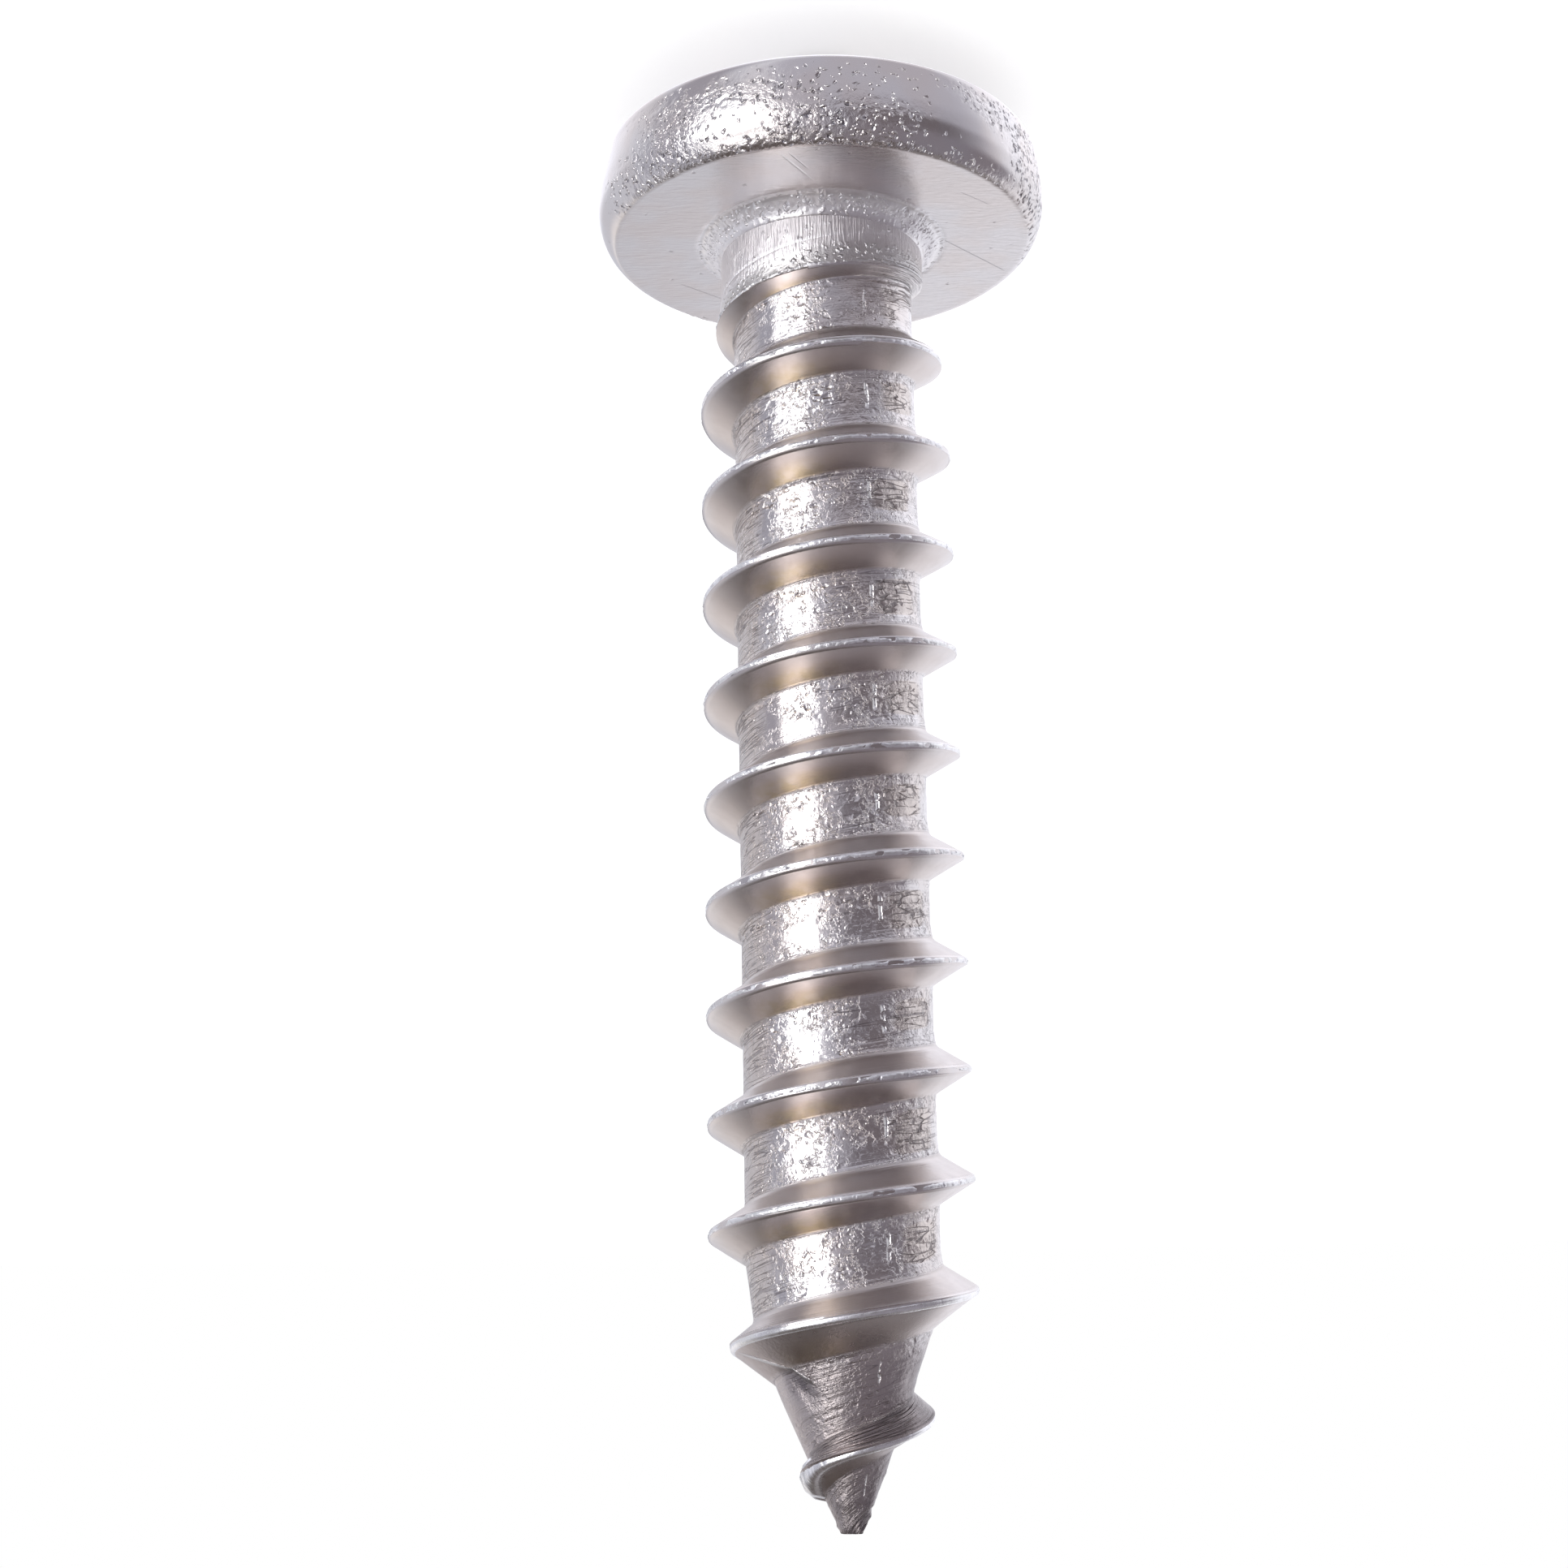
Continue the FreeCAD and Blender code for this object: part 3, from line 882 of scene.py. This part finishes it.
def groove_patterns(n, m, place, helix):
    """What the rolls left in the groove: fine lines, cracks, flakes, the torn seam and the bright scratch.
    Also the side of each turn where the flanks get a painted golden glow.
    """
    across = n.split(helix)[1]
    turn = n.math("FRACT", m.turns)
    m.lines = n.noise(n.scaled(helix, (0.35, 11.0, 1.0)), 1.0, 3.0, 0.6)
    m.edges = n.joined(n.step(across, 0.40, 0.12), n.step(across, 0.95, 1.20))
    crack = n.noise(n.scaled(helix, (0.16, 3.4, 1.0)), 1.0, 1.0, 0.5)
    some_places = n.step(n.noise(place, 0.9, 2.0), 0.46, 0.54)
    m.hairline = n.times(n.step(n.off(crack, 0.5), 0.011, 0.003), some_places, m.groove)
    # Half a turn is added and taken off, because the streaked side lies across the turn's start
    to_streaks = n.off(n.math("FRACT", n.plus(turn, 0.5)), streaked_side - 0.5)
    m.streaked = n.times(n.step(to_streaks, 0.10, 0.05), m.groove, n.step(m.point, 0.5, 0.0))
    m.rolls = n.noise(n.scaled(n.jumbled(helix, 1.2, 0.12), (0.5, 7.0, 1.0)), 1.0, 1.0, 0.5)
    m.slits = n.times(n.step(n.off(m.rolls, 0.5), 0.030, 0.008), n.most(n.times(m.streaked, 0.8), m.folded))
    # Patches where the rolls left the metal pitted and flaked
    patches = n.step(n.noise(place, 1.1, 2.0, 0.55), 0.40, 0.54)
    m.rolled = n.times(m.groove, n.plus(0.25, n.times(patches, 0.75)), n.step(m.point, 0.0, 0.9, 1.0, 0.45))
    m.shards = n.step(n.noise(place, 3.4, 5.0, 0.68), 0.50, 0.56)
    m.flakes = n.flecks(n.scaled(n.jumbled(place, 2.6, 0.35), (1.0, 1.0, 1.5)), 2.7, 0.55, 0.46)
    # The torn seam: short gashes and cracks along the thread
    m.torn_here = n.times(n.step(m.torn, 0.25, 0.6), n.step(m.point, 0.6, 0.1))
    gashes = n.flecks(n.scaled(n.jumbled(helix, 3.0, 0.08), (2.2, 8.5, 1.0)), 1.0, 0.5, 0.44)
    stretched = n.scaled(n.jumbled(helix, 2.0, 0.09), (1.2, 6.0, 1.0))
    to_border = n.cells(stretched, 1.0, "DISTANCE_TO_EDGE")["Distance"]
    cracks = n.times(n.step(to_border, 0.065, 0.02), n.step(m.mottle, 0.40, 0.50))
    m.tears = n.times(n.most(gashes, cracks), m.torn_here)
    # One bright scratch across every turn, at the same side
    drift = n.times(n.math("SUBTRACT", n.noise(place, 2.4, 2.0), 0.5), 0.010)
    scar = n.times(n.step(n.off(n.plus(turn, drift), scar_side), 0.0050, 0.0008), m.groove)
    scar = n.times(scar, n.step(across, 0.22, 0.34), n.step(across, 0.96, 0.80))
    m.scar = n.times(scar, n.step(n.noise(place, 5.0, 1.0), 0.40, 0.50))
    # The side of each turn where a golden glow is painted on the flanks, a painted reflection of the core's
    # highlight
    m.warm_lit = n.step(n.off(turn, painted_glow_side), 0.10, 0.02)


def shank_patterns(n):
    """The masks that the shank's mesh carries, and the finer patterns that noise makes of them."""
    m = SimpleNamespace(**{name: n.mask(name) for name in SHANK_MASKS})
    place = n.object_mm()
    helix = n.new("ShaderNodeAttribute", attribute_name="helix").outputs["Vector"]
    m.broad = n.noise(place, 0.8, 2.0, 0.5)
    m.mottle = n.noise(place, 3.2, 3.0, 0.55)
    m.grain = n.noise(place, 11.0, 3.0, 0.6)
    m.finest = n.noise(place, 26.0, 2.0)
    uneven = n.jumbled(place, 5.0, 0.22)
    m.pits = n.flecks(uneven, 6.0, 0.72)
    m.bumps = n.flecks(n.scaled(uneven, (1.1, 1.1, 0.8)), 7.5, 0.6)
    m.burr_grains = n.flecks(uneven, 6.0, 0.9, 0.42)
    groove_patterns(n, m, place, helix)
    # Drawn wire at the neck
    m.drawn = n.noise(n.scaled(place, (26.0, 26.0, 1.4)), 1.0, 2.0, 0.6)
    m.neck_only = n.math("SUBTRACT", m.neck, m.burr, clamp=True)
    m.squeezed = n.times(m.neck_only, n.step(n.noise(place, 1.6, 2.0), 0.50, 0.60))
    # The point
    m.strands = n.times(m.head_flank, m.point)
    m.fold_edge = n.times(n.step(n.math("ABSOLUTE", m.beyond_fold), 0.07, 0.01), m.at_fold)
    return m


def shank_look(n):
    m = shank_patterns(n)
    # Painted reflection: a golden glow on the flanks, strongest towards the groove, at the side where they
    # mirror the core's highlight
    painted_glow_share = n.times(n.step(m.flank_depth, 0.15, 0.8), n.plus(n.times(m.warm_lit, 0.90), 0.04))
    colour = n.coated(n.mix(n.step(m.broad, 0.35, 0.65), STEEL, STEEL_COOL), (
        # Painted shade: the tip's flank darker and warmer towards the groove's floor
        (m.tip_flank, n.step(m.flank_depth, 0.0, 0.5, 0.35, 0.95), STEEL_PAINTED_FLANK_SHADE),
        (n.most(m.streaked, m.torn_here), 0.75, STEEL_WORN),
        (painted_glow_share, n.step(m.mottle, 0.35, 0.6, 0.6, 1.0), STEEL_PAINTED_GLOW),
        # Painted shade: the head's flank darker and warmer
        (m.head_flank, 0.5, STEEL_PAINTED_FLANK_SHADE),
        # Painted highlight: the neck near white, as if lit full
        (m.neck_only, 0.9, STEEL_PAINTED_HIGHLIGHT),
        # Painted shade: the whole point darker
        (m.point, 0.75, STEEL_POINT_PAINTED_SHADE),
        # Painted shade: the point darkest on one side and towards its blunt end
        (m.dull, 0.75, STEEL_PAINTED_SIDE_SHADE),
        # Painted shade: the hollow under the fold darker
        (m.hollow, 0.85, STEEL_PAINTED_HOLLOW_SHADE),
        (n.most(m.hairline, m.slits), 0.75, STEEL_DARK),
        (n.times(m.pits, m.rolled), 0.30, STEEL_DARK),
        (m.tears, 0.80, STEEL_DARK),
        (m.strands, n.step(m.lines, 0.44, 0.56, 0.0, 0.7), STEEL_DARK),
        (m.burr, 0.8, STEEL_BARE),
        (n.most(m.scar, m.fold_edge), 0.9, STEEL_BARE),
    ))
    roughness = n.raised(n.step(m.mottle, 0.3, 0.7, 0.15, 0.21), (
        (m.tip_flank, 0.06),
        (m.neck, 0.22),
        (m.point, 0.12),
        (n.times(m.head_flank, n.step(m.point, 0.5, 0.0)), 0.16),
        (m.tears, 0.25),
    ))
    rolled_or_burr = n.joined(m.rolled, m.burr)
    relief = n.relief((
        (m.lines, 0.020, n.times(m.groove, n.joined(0.22, m.edges))),
        (m.lines, 0.016, n.times(m.head_flank, 0.6)),
        (m.drawn, 0.030, m.neck_only),
        (m.slits, -0.030, 1.0),
        (m.rolls, 0.12, n.most(n.times(m.streaked, 0.25), m.folded)),
        (m.mottle, 0.034, n.times(n.most(m.rolled, m.squeezed), 0.8)),
        (m.bumps, 0.030, m.squeezed),
        (m.flakes, -0.036, m.rolled),
        (m.shards, -0.016, m.rolled),
        (m.lines, 0.030, n.times(m.groove, m.point, 0.6)),
        (m.pits, -0.020, rolled_or_burr),
        (m.bumps, 0.018, rolled_or_burr),
        (m.burr_grains, 0.100, m.burr),
        (m.grain, 0.022, n.joined(n.times(m.rolled, 0.5), n.plus(m.burr, n.times(m.point, 0.6)))),
        (m.lines, 0.030, m.strands),
        (m.rolls, 0.14, m.strands),
        (m.tears, -0.030, 1.0),
        (m.scar, -0.035, 1.0),
        (n.step(m.beyond_fold, -0.04, 0.04), -0.10, m.at_fold),
        (m.fold_edge, 0.060, 1.0),
        (m.finest, 0.002, 0.6),
    ))
    return colour, roughness, relief


def lip_look(n):
    place = n.object_mm()
    worn = n.mask("worn")
    grain = n.noise(place, 9.0, 3.0, 0.6)
    chips = n.flecks(n.jumbled(place, 5.0, 0.2), 5.0, 0.30, 0.42)
    dark = n.most(n.times(chips, 0.85), n.step(grain, 0.58, 0.66, 0.0, 0.5))
    # The lip is painted near white, a painted sheen along the crest
    colour = n.mix(n.step(n.noise(place, 1.2, 2.0), 0.4, 0.6), STEEL_PAINTED_LIP_SHEEN, STEEL_BARE)
    colour = n.coated(colour, [(dark, worn, STEEL_CHIPS)])
    roughness = n.raised(n.step(grain, 0.35, 0.65, 0.22, 0.30), [(worn, 0.10)])
    return colour, roughness, n.relief([(grain, 0.050, worn), (chips, -0.024, worn)])


def head_look(n):
    place = n.object_mm()
    forged, collar, face = n.mask("forged"), n.mask("collar"), n.mask("face")
    broad = n.noise(place, 0.7, 2.0, 0.5)
    grain = n.noise(place, 9.0, 3.0, 0.6)
    finest = n.noise(place, 22.0, 2.0)
    uneven = n.jumbled(place, 4.5, 0.26)
    rough_share = n.raised(0.04, [(forged, 0.90), (collar, 1.0)])
    pits = n.flecks(n.scaled(uneven, (1.0, 1.0, 0.8)), 6.0, rough_share, 0.42)
    bumps = n.flecks(n.scaled(uneven, (0.9, 0.9, 1.2)), 6.3, rough_share, 0.42)
    rough_part = n.joined(n.step(forged, 0.0, 0.15), collar)
    # Bearing face: small specks, a few straight scratches, and faint lines in one direction
    specks = n.times(n.flecks(uneven, 4.0, 0.06, 0.3), face)
    scratches = 0.0
    for start, end, half_width in FACE_SCRATCHES:
        scratches = n.most(scratches, n.scratch(place, start, end, half_width))
    scratches = n.times(scratches, face)
    sanded = n.noise(n.scaled(n.jumbled(place, 0.6, 0.5), (2.2, 9.0, 1.0)), 1.0, 3.0, 0.6)
    colour = n.coated(n.mix(n.step(broad, 0.35, 0.65), STEEL, STEEL_COOL), (
        # Painted shade: the pits on the forged side darker
        (n.times(pits, forged), 0.75, STEEL_PAINTED_PIT_SHADE),
        (specks, 0.30, STEEL_DARK),
        (n.most(scratches, collar), 0.7, STEEL_BARE),
        # Painted highlight: the collar near white
        (collar, 1.0, STEEL_PAINTED_HIGHLIGHT),
    ))
    roughness = n.raised(n.step(grain, 0.3, 0.7, 0.14, 0.20), ((collar, 0.36), (face, 0.05)))
    relief = n.relief((
        (grain, 0.024, n.times(rough_part, n.most(forged, collar))),
        (pits, -0.040, rough_part),
        (bumps, 0.040, rough_part),
        (sanded, 0.007, face),
        (n.most(scratches, specks), -0.006, 1.0),
        (finest, 0.0015, 0.6),
    ))
    return colour, roughness, relief


def add_piece(name, mesh, material, smooth_angle):
    piece = make_object(name, mesh)
    mesh.materials.clear()
    mesh.materials.append(material)
    mesh.set_sharp_from_angle(angle=math.radians(smooth_angle))
    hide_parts("screw")
    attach(piece, "root")


add_piece("shank", make_shank(), steel_material("rolled_steel", shank_look), 75)
add_piece("lip", make_lip(), steel_material("lip_steel", lip_look), 75)
add_piece("head", make_head(), steel_material("headed_steel", head_look), 50)


# Camera: the photograph shows the screw head up, so the camera is turned over

def place_camera():
    place = (1.178, -56.344, 31.584)
    right = Vector((-0.99986, 0.00403, 0.01641)).normalized()
    back = Vector((0.0, -0.9711, 0.2387))
    back = (back - right * back.dot(right)).normalized()
    data = bpy.data.cameras.new("camera")
    data.lens = 55.07
    data.sensor_width = 36
    data.clip_start = 0.001
    data.clip_end = 10
    matrix = Matrix((right, back.cross(right), back)).transposed().to_4x4()
    matrix.translation = [c * MM for c in place]
    camera = make_object("camera", data)
    camera.matrix_world = matrix
    bpy.context.scene.camera = camera


# Stage: a pale floor that glows a little for the camera, and light from all round

floor_reach = 600
FLOOR_COLOUR = (0.70, 0.70, 0.71, 1)
floor_glow = 0.50
WHITE = (1, 1, 1, 1)


def make_floor():
    signs = ((-1, -1), (1, -1), (1, 1), (-1, 1))
    corners = [(a * floor_reach, b * floor_reach, 0) for a, b in signs]
    mesh = make_mesh("floor", corners, [(0, 1, 2, 3)])
    floor = make_object("floor", mesh)
    floor.visible_glossy = False
    material = bpy.data.materials.new("pale_floor")
    material.use_nodes = True
    mesh.materials.append(material)
    n = Nodes(material.node_tree)
    to_camera = n.new("ShaderNodeLightPath").outputs["Is Camera Ray"]
    glow = n.filled("ShaderNodeEmission", {"Color": WHITE, "Strength": n.times(to_camera, floor_glow)})
    matt = n.filled("ShaderNodeBsdfDiffuse", {"Color": FLOOR_COLOUR})
    both = n.filled("ShaderNodeAddShader", {0: matt.outputs[0], 1: glow.outputs[0]})
    n.filled("ShaderNodeOutputMaterial", {"Surface": both.outputs[0]})


# What the steel mirrors, painted over each other in this order. Each patch is its colour, and in degrees its
# middle and half its width round the axis, its lowest and highest elevation, and how soft its edges are.
SURROUNDINGS = (
    ((0.70, 0.71, 0.78), 22, 68, -100, 100, 8, 14),
    ((0.98, 0.96, 0.98), 60, 16, 8, 46, 10, 8),
    ((1.32, 1.33, 1.44), 104, 62, -100, -24, 34, 8),
    ((0.80, 0.80, 0.87), 104, 62, -100, -52, 34, 10),
    ((0.56, 0.555, 0.63), -120, 66, -100, 40, 18, 14),
    ((0.12, 0.102, 0.100), 0, 200, 42, 120, 14, 26),
    ((0.26, 0.24, 0.25), 128, 26, 34, 80, 10, 12),
    ((0.18, 0.16, 0.18), -132, 38, -26, 60, 20, 10),
    ((0.25, 0.23, 0.27), -152, 50, 2, 60, 12, 8),
    ((0.43, 0.43, 0.50), -12, 19, -70, 44, 9, 12),
    ((1.15, 1.15, 1.20), -47, 18, -28, 34, 5, 7),
    ((3.6, 3.6, 3.6), -47, 18, 26, 36, 5, 4),
    ((4.4, 4.4, 4.5), -47, 18, -28, 7, 5, 7),
)
SURROUNDINGS_BASE = (1.06, 1.07, 1.15, 1)


def painted_surroundings(n):
    x, y, z = n.split(n.new("ShaderNodeTexCoord").outputs["Generated"])
    azimuth = n.math("ARCTAN2", y, x)
    elevation = n.math("ARCSINE", z)
    seen = SURROUNDINGS_BASE
    for colour, *angles in SURROUNDINGS:
        middle, half, low, high, soft_side, soft_end = [math.radians(angle) for angle in angles]
        aside = n.math("ABSOLUTE", n.math("WRAP", n.math("SUBTRACT", azimuth, middle), math.pi, -math.pi))
        share = n.times(
            n.step(aside, half + soft_side, max(half - soft_side, 0)),
            n.step(elevation, low - soft_end, low + soft_end),
            n.step(elevation, high + soft_end, high - soft_end),
        )
        seen = n.mix(share, seen, (*colour, 1))
    return seen


def make_world():
    world = bpy.data.worlds.new("studio")
    bpy.context.scene.world = world
    world.use_nodes = True
    n = Nodes(world.node_tree)
    mirrored = n.filled("ShaderNodeBackground", {"Color": painted_surroundings(n)})
    plain = n.filled("ShaderNodeBackground", {"Color": WHITE})
    in_mirror = n.new("ShaderNodeLightPath").outputs["Is Glossy Ray"]
    mixed = n.filled("ShaderNodeMixShader", {0: in_mirror, 1: plain.outputs[0], 2: mirrored.outputs[0]})
    n.filled("ShaderNodeOutputWorld", {"Surface": mixed.outputs[0]})


place_camera()
make_floor()
make_world()
bpy.context.scene.view_settings.view_transform = "Standard"

bpy.context.view_layer.update()
